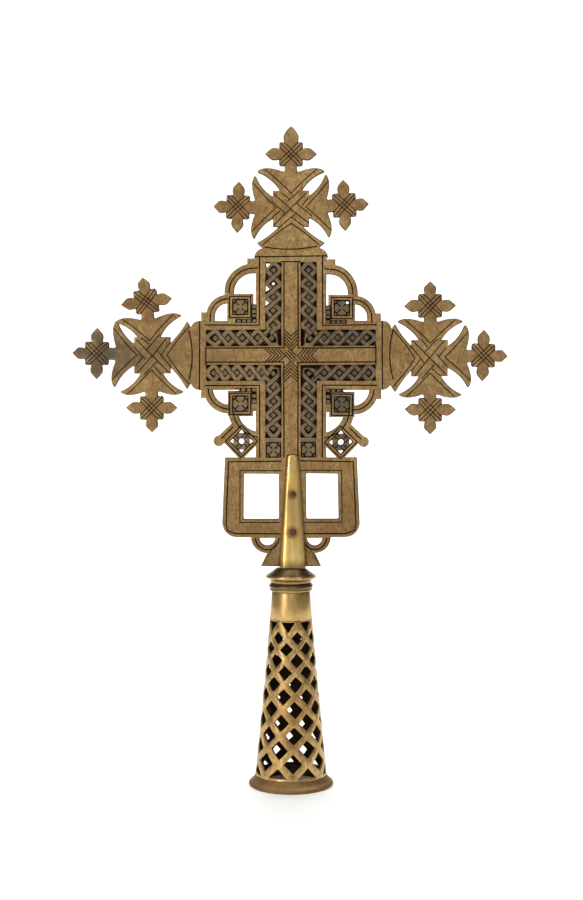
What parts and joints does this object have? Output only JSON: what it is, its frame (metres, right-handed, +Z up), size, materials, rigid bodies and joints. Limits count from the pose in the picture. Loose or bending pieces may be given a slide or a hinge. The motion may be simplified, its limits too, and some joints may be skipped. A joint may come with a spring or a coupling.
{
  "type": "processional cross",
  "caption": "Flat, pierced brass cross head with branching finials, riveted into a forked stem over a knop and a tapered lattice staff socket.",
  "frame": {"origin": "centre of the base flange, on the surface the socket stands on", "axes": "+Z up through the socket's axis to the top finial; the flat head lies in the XZ plane and its front faces -Y"},
  "size_m": [0.2739, 0.053, 0.4137],
  "materials": {
    "plate_brass": "aged brown brass with dark patina in the cuts and brighter worn edges",
    "stem_brass": "worn polished brass with darker streaks",
    "socket_brass": "aged satin brass, darker inside the lattice",
    "rivet_iron": "dark brown iron"
  },
  "bodies": {
    "root": {"cross_plate": "plate_brass", "forked_stem": "stem_brass", "upper_rivet": "rivet_iron", "lower_rivet": "rivet_iron", "knop": "socket_brass", "neck_ring": "socket_brass", "sleeve": "socket_brass", "lattice_socket": "socket_brass", "base_flange": "socket_brass"}
  },
  "joints": []
}
